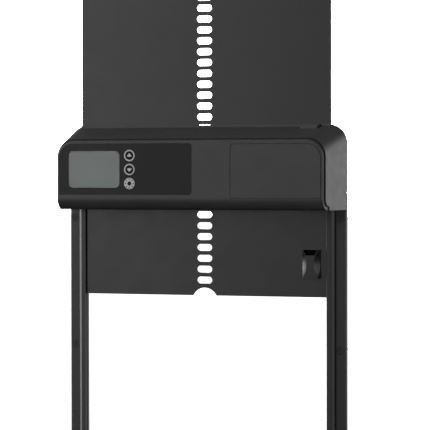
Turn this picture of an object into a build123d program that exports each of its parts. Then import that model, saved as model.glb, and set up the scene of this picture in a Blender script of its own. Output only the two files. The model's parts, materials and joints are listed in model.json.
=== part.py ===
"""Automatic coop door: a motorised sheet panel that slides between two wall rails under a control housing.

Millimetres. +X is to the right as seen from the front, the front faces -Y, and +Z is up. The wall is
the plane y = 0. The origin is the centre of the rail screws' pattern on the wall.
"""

import os
from math import acos, cos, pi, radians, sin, sqrt, tan

from build123d import *

# Wall screws and rails
SCREW_HALF_SPAN = 133.3
SCREW_PITCH = 122.6
RAIL_OUTER = 139.4
RAIL_INNER = 121.4
RAIL_LIP_OUTER = 128.6
RAIL_END_MARGIN = 8.4
RAIL_SOCKET = 16.0
SCREW_SHANK = 1.9
SCREW_NECK = 2.15
SCREW_HOLE = 2.3
SCREW_REACH = 15.0
FLANGE = 4.0
LIP_DEPTH = 8.8
LIP_SHOULDER = 2.6
GROOVE_BOTTOM = 126.3
GROOVE_NEAR = 4.35
GROOVE_FAR = 6.45
GROOVE_CHAMFER = 1.1

# Housing envelope, measured from its own bottom edge
BASE = SCREW_PITCH + RAIL_END_MARGIN
DEPTH = 52.0
BACK_HALF = 139.4
BACK_TOP = 79.6
FRONT_HALF = 132.85
FRONT_TOP = 65.8
CORNER = 17.5
ROLL = 10.8
ROLL_END = 40.0
WALL = 2.4

# Front cover and its gasket
RIM_STEP = 1.2
COVER_SKIN = 3.0
GASKET_SKIN = 1.0
COVER_EDGE = 1.0

# Door panel and its drive slots
PANEL_HALF = 125.4
PANEL_NEAR = 4.65
PANEL_THICKNESS = 1.5
PANEL_BOTTOM = BASE - 81.6
SLOT_COUNT = 28
SLOT_PITCH = 10.29
SLOT_LENGTH = 15.2
SLOT_HEIGHT = 6.4
SLOT_MARGIN = 14.6
NOTCH_HALF = 11.9
NOTCH_DEPTH = 7.4
PANEL_HEIGHT = 2 * SLOT_MARGIN + (SLOT_COUNT - 1) * SLOT_PITCH

# Mechanism plate behind the housing
PASSAGE_FRONT = 7.2
CHASSIS_FRONT = 9.4
CHASSIS_HALF = 125.2
CHASSIS_RECESS = 126.2
TONGUE_X = (98.0, 115.4)
TONGUE_FRONT = 17.6
TONGUE_GAP = 1.5
REBATE_FRONT = 11.7
REBATE_FLOOR = 76.4
GROOVE_HALF = 9.0
GROOVE_FLOOR = -1.6
LUG_Y = (-45.0, -41.5)
LUG_HALF = 3.6

# Screws inside the case: thread, clearance and pilot radii
SMALL_THREAD = 1.05
SMALL_CLEAR = 1.35
SMALL_PILOT = 1.1
CASE_THREAD = 1.25
CASE_CLEAR = 1.6
CASE_PILOT = 1.3
CASE_HEAD = 2.7
HEAD_HEIGHT = 1.4
HEAD_SLOT_HALF = 0.3

# Drive: a sprocket in the slots, turned through one pair of spur gears
SPROCKET_TEETH = 8
SPROCKET_RADIUS = SPROCKET_TEETH * SLOT_PITCH / (2 * pi)
SPROCKET_WIDTH = 10.0
TOOTH_HALF = 2.5
TOOTH_TIP_HALF = 1.4
TOOTH_REACH = 1.7
SHAFT_Y = -(PANEL_NEAR + PANEL_THICKNESS / 2) - SPROCKET_RADIUS
SHAFT_Z = PANEL_BOTTOM + SLOT_MARGIN + 10 * SLOT_PITCH
SHAFT_RADIUS = 2.0
MODULE = 0.8
DRIVE_TEETH = 24
MOTOR_TEETH = 18
GEAR_DISTANCE = MODULE * (DRIVE_TEETH + MOTOR_TEETH) / 2
MOTOR_SETBACK = 10.9
MOTOR_Y = SHAFT_Y - MOTOR_SETBACK
MOTOR_Z = SHAFT_Z - sqrt(GEAR_DISTANCE**2 - MOTOR_SETBACK**2)
MOTOR_RADIUS = 10.2
MOTOR_SEAT = 10.35
MOTOR_SHAFT_RADIUS = 1.5
GEAR_X0 = -17.4
GEAR_X1 = -13.4
EAR_INNER = 8.4
EAR_OUTER = 11.2
EAR_HALF = 6.0
BUSH_RADIUS = 3.0
STRAP_X = (-45.0, -65.0)
STRAP_WIDTH = 4.0
STRAP_OUTER = 11.6
STRAP_SHEET = 1.4
SADDLE_HALF = 16.0

# Display, keys and control board
FASCIA = 0.6
FASCIA_X = (-129.9, 4.1)
FASCIA_Z = (BASE + 14.1, BASE + 62.2)
LCD_X = (-120.7, -68.3)
LCD_Z = (BASE + 20.6, BASE + 55.2)
LCD_CORNER = 4.8
KEY_X = -57.9
KEY_Z = (BASE + 50.9, BASE + 37.8, BASE + 24.7)
KEY_RADIUS = 5.6
KEY_PROUD = 0.5
BOARD_Y = (-43.2, -41.6)
BOARD_X = (-121.0, -6.0)
BOARD_Z = (BASE + 15.6, BASE + 55.5)

# Battery compartment
LID_X = (42.3, 129.3)
LID_Z = (BASE + 11.4, BASE + 61.0)
LID_SKIN = 1.8
LID_GAP = 0.5
LID_SEAT = 3.2
CELL_RADIUS = 7.2
SOCKET = 5.0
LEAD_RADIUS = 0.6
CELL_LENGTH = 49.3
CELL_PITCH = 15.6
CELL_MID_X = 85.0
CELL_Y = -39.6
CELL_Z = BASE + 36.5
TRAY_WALL = 1.2

# Finger pull on the panel
PULL_X = (97.5, 115.3)
PULL_Z = (PANEL_BOTTOM + 17.3, PANEL_BOTTOM + 44.2)
PULL_DEPTH = 5.2
PULL_TAPER = 1.45
PULL_END_TAPER = 0.3
SCOOP_RADIUS = 33.85
SCOOP_OFFSET = 27.9
SCOOP_HEIGHT = 23.6
CATCH_DEPTH = 4.5
CATCH_HEIGHT = 5.0
CATCH_TOP_HALF = 6.9
CATCH_FOOT_HALF = 4.4
RIVET_RADIUS = 1.25
RIVET_DEPTH = 3.4

FRONT = -DEPTH
PANEL_FACE = -(PANEL_NEAR + PANEL_THICKNESS)
COVER_BACK = FRONT + COVER_SKIN
REACH = 200.0


def block(x0, x1, y0, y1, z0, z1):
    """A box between two corners."""
    return Pos((x0 + x1) / 2, (y0 + y1) / 2, (z0 + z1) / 2) * Box(x1 - x0, y1 - y0, z1 - z0)


def rod_y(x, z, radius, y0, y1):
    """A cylinder that runs front to back."""
    return Pos(x, (y0 + y1) / 2, z) * Rot(90, 0, 0) * Cylinder(radius, abs(y1 - y0))


def rod_x(y, z, radius, x0, x1):
    """A cylinder that runs left to right."""
    return Pos((x0 + x1) / 2, y, z) * Rot(0, 90, 0) * Cylinder(radius, abs(x1 - x0))


def front_plane(y):
    """A sketch plane that faces the front, with its local x along +X and y along +Z."""
    return Plane(origin=(0, y, 0), x_dir=(1, 0, 0), z_dir=(0, -1, 0))


def plate(sketch, y_front, y_back):
    """A front-facing sketch given thickness from its front to its back."""
    return extrude(front_plane(y_back) * sketch, y_back - y_front)


def rounded(x_range, z_range, radius):
    """A rounded rectangle between two ranges."""
    width = x_range[1] - x_range[0]
    height = z_range[1] - z_range[0]
    middle = Pos((x_range[0] + x_range[1]) / 2, (z_range[0] + z_range[1]) / 2)
    return middle * RectangleRounded(width, height, radius)


def grown(span, amount):
    """A range made longer at both ends."""
    return (span[0] - amount, span[1] + amount)


def outline(half_width, top, radius):
    """The housing's section: square below, rounded at both upper corners."""
    section = Pos(0, BASE + top / 2) * Rectangle(2 * half_width, top)
    upper = section.vertices().group_by(Axis.Y)[-1]
    return fillet(upper, radius)


def envelope(inset):
    """The tapering outer form of the housing, drawn in by inset at the sides and the top."""
    back = front_plane(-FLANGE) * outline(BACK_HALF - inset, BACK_TOP - inset, CORNER - inset)
    front = front_plane(FRONT) * outline(FRONT_HALF - inset, FRONT_TOP - inset, CORNER - inset)
    return loft([back, front], ruled=True)


def side_profile(inset):
    """The housing seen from its side, with the rolled lower front edge, set back by inset."""
    slab = block(-REACH, REACH, FRONT + inset, 0, BASE + inset, BASE + REACH)
    front_edges = slab.edges().filter_by(Axis.X).group_by(Axis.Y)[0]
    return fillet(front_edges.sort_by(Axis.Z)[0], ROLL - inset)


def front_zone():
    """The space in front of where the cover's rolled edge ends under the housing."""
    return block(-REACH, REACH, FRONT - 5, -ROLL_END, BASE - 5, BASE + REACH)


def shell_layer(inset, outer, inner):
    """A layer that follows the front face and the rolled edge, from outer to inner depth."""
    return (envelope(inset) & side_profile(outer) & front_zone()) - side_profile(inner)


def rail(side):
    """One rail: a flat screw flange, and a raised channel with a sloping shoulder along its inner edge."""
    points = [
        (RAIL_OUTER, 0),
        (RAIL_INNER, 0),
        (RAIL_INNER, -(GROOVE_NEAR - GROOVE_CHAMFER)),
        (RAIL_INNER + GROOVE_CHAMFER, -GROOVE_NEAR),
        (GROOVE_BOTTOM, -GROOVE_NEAR),
        (GROOVE_BOTTOM, -GROOVE_FAR),
        (RAIL_INNER + GROOVE_CHAMFER, -GROOVE_FAR),
        (RAIL_INNER, -(GROOVE_FAR + GROOVE_CHAMFER)),
        (RAIL_INNER, -LIP_DEPTH),
        (RAIL_LIP_OUTER - LIP_SHOULDER, -LIP_DEPTH),
        (RAIL_LIP_OUTER, -LIP_DEPTH + LIP_SHOULDER),
        (RAIL_LIP_OUTER, -FLANGE),
        (RAIL_OUTER, -FLANGE),
    ]
    profile = make_face(Polyline(*points, close=True))
    body = Pos(0, 0, -BASE) * extrude(profile, 2 * BASE + RAIL_SOCKET)
    lip, flange = outer_front_edges(body)
    body = chamfer(flange, 1.0)
    body = chamfer(outer_front_edges(body)[0], 0.4)
    for level in (-SCREW_PITCH, 0, SCREW_PITCH):
        body -= rod_y(SCREW_HALF_SPAN, level, SCREW_HOLE, -FLANGE - 1, 1)
        body -= Pos(SCREW_HALF_SPAN, -FLANGE + 1.3, level) * Rot(-90, 0, 0) * Cone(3.85, SCREW_HOLE, 2.7)
    return body if side > 0 else mirror(body, Plane.YZ)


def outer_front_edges(body):
    """The long front edges of the rail's channel and of its flange's outer side."""
    long_edges = body.edges().filter_by(Axis.Z)
    lip = long_edges.group_by(Axis.Y)[0]
    flange = long_edges.group_by(Axis.X)[-1].sort_by(Axis.Y)[0:1]
    return lip, flange


def wall_screw(x, z):
    """A countersunk wood screw through a rail's flange into the wall."""
    head = Pos(x, -FLANGE + 1.15, z) * Rot(-90, 0, 0) * Cone(3.4, SCREW_NECK, 2.1)
    neck = rod_y(x, z, SCREW_NECK, -FLANGE + 1.5, 0)
    shank = rod_y(x, z, SCREW_SHANK, 0, SCREW_REACH)
    recess_a = block(x - 2.0, x + 2.0, -FLANGE - 1, -FLANGE + 1.1, z - 0.45, z + 0.45)
    recess_b = block(x - 0.45, x + 0.45, -FLANGE - 1, -FLANGE + 1.1, z - 2.0, z + 2.0)
    return head + neck + shank - recess_a - recess_b


def rail_screws():
    """Six wood screws, three in each rail."""
    levels = (-SCREW_PITCH, 0, SCREW_PITCH)
    return [wall_screw(side * SCREW_HALF_SPAN, z) for side in (-1, 1) for z in levels]


def rail_stops():
    """A plug at the foot of each channel, where the closed panel comes to rest."""
    plugs = []
    for side in (-1, 1):
        near = side * (RAIL_INNER + 1.3)
        far = side * (GROOVE_BOTTOM - 0.1)
        x0, x1 = sorted((near, far))
        plugs.append(block(x0, x1, -GROOVE_FAR + 0.05, -GROOVE_NEAR - 0.05, -BASE, -BASE + 4.0))
    return plugs


def door_panel():
    """The sliding sheet with its ladder of drive slots and the half-round notch below."""
    width = 2 * PANEL_HALF
    sheet = Pos(0, PANEL_BOTTOM + PANEL_HEIGHT / 2) * RectangleRounded(width, PANEL_HEIGHT, 1.5)
    for k in range(SLOT_COUNT):
        level = PANEL_BOTTOM + SLOT_MARGIN + k * SLOT_PITCH
        sheet -= Pos(0, level) * SlotOverall(SLOT_LENGTH, SLOT_HEIGHT)
    radius = (NOTCH_HALF**2 + NOTCH_DEPTH**2) / (2 * NOTCH_DEPTH)
    sheet -= Pos(0, PANEL_BOTTOM + NOTCH_DEPTH - radius) * Circle(radius)
    body = plate(sheet, PANEL_FACE, -PANEL_NEAR)
    for level in pull_rivet_levels():
        body -= rod_y(sum(PULL_X) / 2, level, RIVET_RADIUS + 0.05, PANEL_FACE - 1, 0)
        body -= rivet_head(level, 0.05)
    return body


def finger_pull():
    """The moulded grip: a tapered block scooped at both sides, with a lifting catch near its top."""
    front = PANEL_FACE - PULL_DEPTH
    middle_x = sum(PULL_X) / 2
    middle_z = sum(PULL_Z) / 2
    width = PULL_X[1] - PULL_X[0]
    height = PULL_Z[1] - PULL_Z[0]
    foot = front_plane(PANEL_FACE) * Pos(middle_x, middle_z) * Rectangle(width, height)
    crown_width = width - 2 * PULL_TAPER
    crown_height = height - 2 * PULL_END_TAPER
    crown = front_plane(front) * Pos(middle_x, middle_z) * Rectangle(crown_width, crown_height)
    grip = loft([foot, crown], ruled=True)
    for side in (-1, 1):
        grip -= Pos(middle_x + side * SCOOP_OFFSET, front - SCOOP_HEIGHT, middle_z) * Sphere(SCOOP_RADIUS)
    grip -= lifting_catch(front)
    for level in pull_rivet_levels():
        grip -= rod_y(middle_x, level, RIVET_RADIUS + 0.05, PANEL_FACE - RIVET_DEPTH - 0.1, PANEL_FACE + 1)
    return grip


def lifting_catch(front):
    """The pocket for a fingertip, open at the front and at the top, and narrower at its foot."""
    top = PULL_Z[1]
    foot = top - CATCH_HEIGHT
    flare = (CATCH_TOP_HALF - CATCH_FOOT_HALF) / CATCH_HEIGHT
    wide = CATCH_TOP_HALF + flare
    mouth = [(-wide, top + 1), (wide, top + 1), (CATCH_FOOT_HALF, foot), (-CATCH_FOOT_HALF, foot)]
    shape = Pos(sum(PULL_X) / 2) * make_face(Polyline(*mouth, close=True))
    return plate(shape, front - 1, front + CATCH_DEPTH)


def pull_rivet_levels():
    """The heights of the two rivets that hold the finger pull."""
    return (PULL_Z[0] + 5.0, PULL_Z[0] + 16.0)


def rivet_head(level, spare):
    """The countersunk head of a rivet in the panel's back, or its seat when spare is added."""
    middle_x = sum(PULL_X) / 2
    wide = RIVET_RADIUS + 1.2 + spare
    return Pos(middle_x, -PANEL_NEAR - 0.55, level) * Rot(90, 0, 0) * Cone(wide, RIVET_RADIUS + spare, 1.0)


def pull_rivets():
    """Two rivets, driven from the panel's back into the grip, with heads below the surface."""
    middle_x = sum(PULL_X) / 2
    rivets = []
    for level in pull_rivet_levels():
        shank = rod_y(middle_x, level, RIVET_RADIUS, PANEL_FACE - RIVET_DEPTH, -PANEL_NEAR - 0.8)
        rivets.append(rivet_head(level, 0) + shank)
    return rivets


def rear_cover():
    """The plate against the wall, with guide ribs and a full-height groove behind the drive slots."""
    body = plate(outline(BACK_HALF, BACK_TOP, CORNER), -FLANGE, 0)
    for side in (-1, 1):
        x0, x1 = sorted((side * (RAIL_INNER - 0.3), side * (BACK_HALF + 1)))
        body -= block(x0, x1, -FLANGE - 1, 1, BASE - 1, BASE + RAIL_SOCKET + 0.3)
        x0, x1 = sorted((side * 13.0, side * 17.0))
        body += block(x0, x1, -PANEL_NEAR + 0.3, -FLANGE + 0.2, BASE + 4, BASE + BACK_TOP - 3)
    body -= block(-GROOVE_HALF, GROOVE_HALF, -FLANGE - 1, GROOVE_FLOOR, BASE - 1, BASE + BACK_TOP + 1)
    for x, z in case_screw_places():
        body -= rod_y(x, z, CASE_CLEAR, -FLANGE - 1, 1)
        body -= rod_y(x, z, 3.0, -1.9, 1)
    return body


def case_screw_places():
    """Where the rear cover is screwed to the housing body."""
    return [(side * 131.4, BASE + z) for side in (-1, 1) for z in (27.0, 56.0)]


def housing_body():
    """The one-piece surround: top, sides and floor, open at the back and the front."""
    outer = envelope(0) & side_profile(0)
    outer -= front_zone() - side_profile(COVER_SKIN + GASKET_SKIN)
    step = COVER_SKIN + GASKET_SKIN + WALL
    cavity = block(-REACH, REACH, -ROLL_END + WALL, 0, BASE + WALL, BASE + REACH)
    cavity += block(-REACH, REACH, FRONT - 5, -ROLL_END + WALL, BASE + step, BASE + REACH)
    body = outer - (envelope(WALL) & cavity)
    body -= block(-CHASSIS_RECESS, CHASSIS_RECESS, -CHASSIS_FRONT - 0.3, 1, BASE + 60, BASE + 100)
    body -= block(-CHASSIS_RECESS, CHASSIS_RECESS, -REBATE_FRONT, 1, BASE + REBATE_FLOOR, BASE + 100)
    body -= block(-RAIL_LIP_OUTER - 0.3, RAIL_LIP_OUTER + 0.3, -LIP_DEPTH - 0.3, 1, BASE - 1, BASE + 5)
    for x, z in case_screw_places():
        x0, x1 = sorted((x, side_of(x) * BACK_HALF))
        web = block(x0, x1, -18.0, -FLANGE, z - 3.4, z + 3.4) & envelope(1.0)
        body += rod_y(x, z, 3.4, -FLANGE, -18.0) + web
        body -= rod_y(x, z, CASE_PILOT, -FLANGE + 1, -14.0)
    for x, z in chassis_screw_places():
        x0, x1 = sorted((x - 4.0 * side_of(x), side_of(x) * BACK_HALF))
        body += block(x0, x1, -20.0, -CHASSIS_FRONT, z - 3.5, z + 3.5) & envelope(1.0)
        body -= rod_y(x, z, CASE_PILOT, -CHASSIS_FRONT + 1, -17.0)
    for x, z in front_screw_places():
        if z > BASE + FRONT_TOP / 2:
            lug = block(x - LUG_HALF, x + LUG_HALF, *LUG_Y, z - LUG_HALF, BASE + BACK_TOP)
        else:
            x0, x1 = sorted((x - LUG_HALF * side_of(x), side_of(x) * BACK_HALF))
            lug = block(x0, x1, *LUG_Y, z - LUG_HALF, z + LUG_HALF)
        body += lug & envelope(1.0)
        body -= rod_y(x, z, CASE_CLEAR, LUG_Y[0] - 1, LUG_Y[1] + 1)
    return body - tongue_slot()


def side_of(x):
    """-1 on the left, +1 on the right."""
    return 1 if x > 0 else -1


def chassis_screw_places():
    """Where the mechanism plate is screwed to the body's ledges."""
    return [(side * 119.0, BASE + z) for side in (-1, 1) for z in (34.0, 64.0)]


def front_screw_places():
    """Where the body's lugs are screwed to the front cover's bosses."""
    low = [(side * 121.0, BASE + 11.5) for side in (-1, 1)]
    high = [(x, BASE + 59.8) for x in (-45.0, 20.0)]
    return low + high


def chassis():
    """The mechanism plate. Its upper edge stands up behind the housing's sloping top."""
    body = block(-CHASSIS_HALF, CHASSIS_HALF, -CHASSIS_FRONT, -PASSAGE_FRONT, BASE + 3, BASE + BACK_TOP)
    for side in (-1, 1):
        x0, x1 = sorted((side * (RAIL_INNER - 0.4), side * (CHASSIS_HALF + 1)))
        body -= block(x0, x1, -CHASSIS_FRONT - 1, -PASSAGE_FRONT + 1, BASE, BASE + RAIL_SOCKET + 1.0)
    body -= block(-8.0, 8.0, -CHASSIS_FRONT - 1, 0, SHAFT_Z - 16, SHAFT_Z + 16)
    body -= block(GEAR_X0 - 1, GEAR_X1 + 1, -CHASSIS_FRONT - 1, 0, SHAFT_Z - 10, SHAFT_Z + 10)
    for x in grown(TONGUE_X, TONGUE_GAP / 2):
        x0, x1 = grown((x, x), TONGUE_GAP / 2)
        body -= block(x0, x1, -CHASSIS_FRONT - 1, 0, BASE + BACK_TOP - 4, BASE + REACH)
    for x0, x1 in ((-EAR_OUTER, -EAR_INNER), (EAR_INNER, EAR_OUTER)):
        ear = block(x0, x1, SHAFT_Y - EAR_HALF, -CHASSIS_FRONT + 0.5, SHAFT_Z - EAR_HALF, SHAFT_Z + EAR_HALF)
        body += ear - rod_x(SHAFT_Y, SHAFT_Z, BUSH_RADIUS + 0.05, x0 - 1, x1 + 1)
    for x0 in STRAP_X:
        x1 = x0 + STRAP_WIDTH
        z0, z1 = grown((MOTOR_Z, MOTOR_Z), SADDLE_HALF)
        saddle = block(x0, x1, MOTOR_Y, -CHASSIS_FRONT + 0.5, z0, z1)
        body += saddle - rod_x(MOTOR_Y, MOTOR_Z, MOTOR_SEAT, x0 - 1, x1 + 1)
    for x, z in strap_screw_places():
        body -= rod_y(x, z, SMALL_PILOT, MOTOR_Y - 1, MOTOR_Y + 9)
    for x, z in chassis_screw_places():
        body -= rod_y(x, z, CASE_CLEAR, -CHASSIS_FRONT - 1, 0)
        body -= Pos(x, -PASSAGE_FRONT - 0.6, z) * Rot(90, 0, 0) * Cone(3.0, CASE_CLEAR, 1.3)
    return body


def snap_tongue():
    """The short tongue that locks the mechanism plate's upper edge, between two slots."""
    return block(*TONGUE_X, -TONGUE_FRONT, -CHASSIS_FRONT, BASE + 73.0, BASE + BACK_TOP - 0.5)


def tongue_slot():
    """The notch in the body's top that the tongue snaps into."""
    return block(*grown(TONGUE_X, TONGUE_GAP), -TONGUE_FRONT - 0.4, 0, BASE + 70, BASE + REACH)


def strap_screw_places():
    """Where the strap is screwed to the saddles."""
    return [(x0 + STRAP_WIDTH / 2, MOTOR_Z + dz) for x0 in STRAP_X for dz in (-13.8, 13.8)]


def motor_strap():
    """Two bands that hold the motor in its saddles."""
    straps = []
    for x0 in STRAP_X:
        x1 = x0 + STRAP_WIDTH
        seat = rod_x(MOTOR_Y, MOTOR_Z, MOTOR_SEAT, x0 - 1, x1 + 1)
        band = rod_x(MOTOR_Y, MOTOR_Z, STRAP_OUTER, x0, x1) - seat
        for side in (-1, 1):
            z0, z1 = sorted((MOTOR_Z + side * (STRAP_OUTER - 0.8), MOTOR_Z + side * SADDLE_HALF))
            band += block(x0, x1, MOTOR_Y - STRAP_SHEET, MOTOR_Y, z0, z1)
        band &= block(x0 - 1, x1 + 1, MOTOR_Y - 20, MOTOR_Y - 0.05, MOTOR_Z - 20, MOTOR_Z + 20)
        for x, z in strap_screw_places():
            band -= rod_y(x, z, 1.2, MOTOR_Y - 5, MOTOR_Y + 5)
        straps.append(band)
    return straps


def front_gasket():
    """The dark seal that shows as a line around the front cover."""
    return shell_layer(0.15, COVER_SKIN + 0.02, COVER_SKIN + GASKET_SKIN - 0.02) - envelope(3.4)


def front_cover():
    """The face of the housing, rolled under at the bottom, with its openings and seats."""
    body = shell_layer(RIM_STEP, 0, COVER_SKIN)
    face = body.faces().filter_by(Axis.Y).sort_by(Axis.Y)[0]
    upper_edges = [edge for edge in face.edges() if edge.center().Z > BASE + ROLL + 5]
    body = fillet(upper_edges, COVER_EDGE)
    body -= fascia_blank(0.08, FRONT - 1, FRONT + FASCIA + 0.02)
    body -= plate(rounded(grown(LCD_X, 0.1), grown(LCD_Z, 0.1), LCD_CORNER), FRONT - 1, COVER_BACK + 1)
    for z in KEY_Z:
        body -= rod_y(KEY_X, z, KEY_RADIUS + 0.15, FRONT - 1, COVER_BACK + 1)
    body -= plate(lid_sketch(LID_GAP), FRONT - 1, FRONT + LID_SKIN + 0.3)
    opening = rounded(grown(LID_X, -LID_SEAT), grown(LID_Z, -LID_SEAT), 3.0)
    body -= plate(opening, FRONT - 1, COVER_BACK + 1)
    for x, z in front_screw_places():
        boss = rod_y(x, z, 2.8, COVER_BACK - 0.3, LUG_Y[0] - 0.05)
        body += boss - rod_y(x, z, CASE_PILOT, COVER_BACK + 0.6, -40)
    return body


def lid_sketch(gap):
    """The battery lid's outline: its outer upper corner follows the housing's corner."""
    middle = Pos(sum(LID_X) / 2, sum(LID_Z) / 2)
    shape = middle * Rectangle(LID_X[1] - LID_X[0] + 2 * gap, LID_Z[1] - LID_Z[0] + 2 * gap)
    outer_corner = shape.vertices().sort_by(lambda v: v.X + v.Y)[-1]
    shape = fillet(outer_corner, 12.5 + gap)
    inner_corner = shape.vertices().sort_by(lambda v: v.Y - v.X)[-1]
    shape = fillet(inner_corner, 3.0 + gap)
    return shape


def battery_cover():
    """The battery lid, flush with the face, with a spigot that fits the opening."""
    body = plate(lid_sketch(0), FRONT, FRONT + LID_SKIN)
    rim = rounded(grown(LID_X, -LID_SEAT - 0.4), grown(LID_Z, -LID_SEAT - 0.4), 2.6)
    core = rounded(grown(LID_X, -LID_SEAT - 1.8), grown(LID_Z, -LID_SEAT - 1.8), 1.4)
    body += plate(rim - core, FRONT + LID_SKIN - 0.1, COVER_BACK - 0.2)
    return body


def battery_seal():
    """The flat seal between the lid and its seat."""
    ring = rounded(grown(LID_X, -0.6), grown(LID_Z, -0.6), 2.0) & lid_sketch(-0.6)
    ring -= rounded(grown(LID_X, -LID_SEAT + 0.3), grown(LID_Z, -LID_SEAT + 0.3), 3.0)
    return plate(ring, FRONT + LID_SKIN + 0.02, FRONT + LID_SKIN + 0.28)


def fascia_blank(gap, y_front, y_back):
    """The fascia's outline as a slab, following the face's rounded corner."""
    middle = Pos(sum(FASCIA_X) / 2, sum(FASCIA_Z) / 2)
    shape = middle * Rectangle(FASCIA_X[1] - FASCIA_X[0] + 2 * gap, FASCIA_Z[1] - FASCIA_Z[0] + 2 * gap)
    corner = shape.vertices().sort_by(lambda v: v.Y - v.X)[-1]
    shape = fillet(corner, CORNER - 3.4 + gap)
    right = shape.vertices().group_by(Axis.X)[-1]
    shape = fillet(right, 3.0 + gap)
    return plate(shape, y_front, y_back)


def display_fascia():
    """The gloss overlay around the display and the keys."""
    body = fascia_blank(0, FRONT, FRONT + FASCIA)
    body -= plate(rounded(grown(LCD_X, 0.1), grown(LCD_Z, 0.1), LCD_CORNER), FRONT - 1, FRONT + 2)
    for z in KEY_Z:
        body -= rod_y(KEY_X, z, KEY_RADIUS + 0.15, FRONT - 1, FRONT + 2)
    return body


def lcd_window():
    """The clear window, set a little below the fascia."""
    return plate(rounded(LCD_X, LCD_Z, LCD_CORNER), FRONT + 0.7, FRONT + 1.9)


def lcd_module():
    """The display: a glass block on a bezel that stands on the control board."""
    front = plate(rounded(grown(LCD_X, -0.5), grown(LCD_Z, -0.5), LCD_CORNER), FRONT + 2.0, COVER_BACK + 0.6)
    bezel = plate(rounded(grown(LCD_X, 1.0), grown(LCD_Z, 1.0), 1.0), COVER_BACK + 0.3, BOARD_Y[0])
    return front + bezel


def control_board():
    """The circuit board, notched for the screws that hold it."""
    board = plate(rounded(BOARD_X, BOARD_Z, 2.0), *BOARD_Y)
    for x, z in board_screw_places():
        board -= rod_y(x, z, SMALL_CLEAR, BOARD_Y[0] - 1, BOARD_Y[1] + 1)
    return board


def board_screw_places():
    """Where the board is screwed down, clear of the display."""
    return [(x, z) for x in (-48.0, -10.0) for z in (BOARD_Z[0] + 4, BOARD_Z[1] - 4)]


def board_posts():
    """The posts that hold the board off the front cover."""
    posts = []
    for x, z in board_screw_places():
        post = rod_y(x, z, 2.8, COVER_BACK + 0.02, BOARD_Y[0])
        posts.append(post - rod_y(x, z, SMALL_PILOT, COVER_BACK + 1, -40))
    return posts


def pan_screw(x, z, head_front, shank_radius, head_radius, length, towards):
    """A pan-head screw whose shank runs from head_front along Y, towards -1 or +1."""
    head = rod_y(x, z, head_radius, head_front, head_front - towards * HEAD_HEIGHT)
    shank = rod_y(x, z, shank_radius, head_front - towards * 0.2, head_front + towards * length)
    y0, y1 = sorted((head_front - towards * 0.8, head_front - towards * 3))
    slot = block(x - HEAD_SLOT_HALF, x + HEAD_SLOT_HALF, y0, y1, z - 1.5, z + 1.5)
    return head + shank - slot


def board_screws():
    """Screws that hold the control board to its posts."""
    return [pan_screw(x, z, BOARD_Y[1], SMALL_THREAD, 2.2, 5.5, -1) for x, z in board_screw_places()]


def strap_screws():
    """Screws that hold the motor straps."""
    head_front = MOTOR_Y - STRAP_SHEET
    return [pan_screw(x, z, head_front, SMALL_THREAD, 1.9, 8.0, 1) for x, z in strap_screw_places()]


def case_screws():
    """Screws that hold the rear cover to the housing body, sunk below the wall face."""
    return [pan_screw(x, z, -1.9, CASE_THREAD, CASE_HEAD, 10.0, -1) for x, z in case_screw_places()]


def front_screws():
    """Screws that hold the front cover, driven from inside the housing body."""
    return [pan_screw(x, z, LUG_Y[1], CASE_THREAD, CASE_HEAD, 6.0, -1) for x, z in front_screw_places()]


def chassis_screws():
    """Countersunk screws that hold the mechanism plate."""
    screws = []
    for x, z in chassis_screw_places():
        head = Pos(x, -PASSAGE_FRONT - 0.75, z) * Rot(90, 0, 0) * Cone(CASE_HEAD, 1.5, 1.1)
        screws.append(head + rod_y(x, z, CASE_THREAD, -PASSAGE_FRONT - 0.5, -16.0))
    return screws


def key_button(z):
    """A round key: a cap through the fascia, a flange behind the cover and a short stem."""
    cap = rod_y(KEY_X, z, KEY_RADIUS, FRONT - KEY_PROUD, COVER_BACK + 0.2)
    rim = cap.faces().sort_by(Axis.Y)[0].edges()
    cap = fillet(rim, 0.35)
    flange = rod_y(KEY_X, z, KEY_RADIUS + 0.9, COVER_BACK + 0.1, COVER_BACK + 0.7)
    stem = rod_y(KEY_X, z, 1.6, COVER_BACK + 0.6, COVER_BACK + 1.4)
    return cap + flange + stem


def tact_switches():
    """One push switch on the board behind each key."""
    switches = []
    for z in KEY_Z:
        base = block(KEY_X - 3, KEY_X + 3, BOARD_Y[0] - 3.0, BOARD_Y[0], z - 3, z + 3)
        switches.append(base + rod_y(KEY_X, z, 1.5, BOARD_Y[0] - 3.6, BOARD_Y[0] - 2.9))
    return switches


def board_chips():
    """The controller chip, the motor driver and a capacitor on the board's front."""
    front = BOARD_Y[0]
    chip = block(-44, -34, front - 1.6, front, BASE + 32, BASE + 42)
    driver = block(-28, -22, front - 1.5, front, BASE + 24, BASE + 29)
    capacitor = rod_y(-25, BASE + 46, 3.0, front - 4.6, front)
    return [chip, driver, capacitor]


def lead_sockets():
    """Two sockets on the back of the board, for the motor and the battery leads."""
    back = BOARD_Y[1]
    motor_side = block(-36, -28, back, back + SOCKET, BASE + 47, BASE + 53)
    battery_side = block(-18, -10, back, back + SOCKET, BASE + 42, BASE + 48)
    return [motor_side, battery_side]


def battery_tray():
    """The open box behind the lid, with a cradle for four cells standing side by side."""
    half = 2 * CELL_PITCH
    x = (CELL_MID_X - half - TRAY_WALL, CELL_MID_X + half + TRAY_WALL)
    z = (CELL_Z - CELL_LENGTH / 2 - 3.5, CELL_Z + CELL_LENGTH / 2 + 1.8)
    body = block(*x, COVER_BACK + 1.1, CELL_Y + CELL_RADIUS + 2.0, *z)
    body -= block(*grown(x, -TRAY_WALL), COVER_BACK - 1, CELL_Y, *grown(z, -TRAY_WALL))
    for k in range(4):
        centre = cell_x(k)
        body -= Pos(centre, CELL_Y, sum(z) / 2) * Cylinder(CELL_RADIUS + 0.3, z[1] - z[0] - 2 * TRAY_WALL)
    return body


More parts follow.
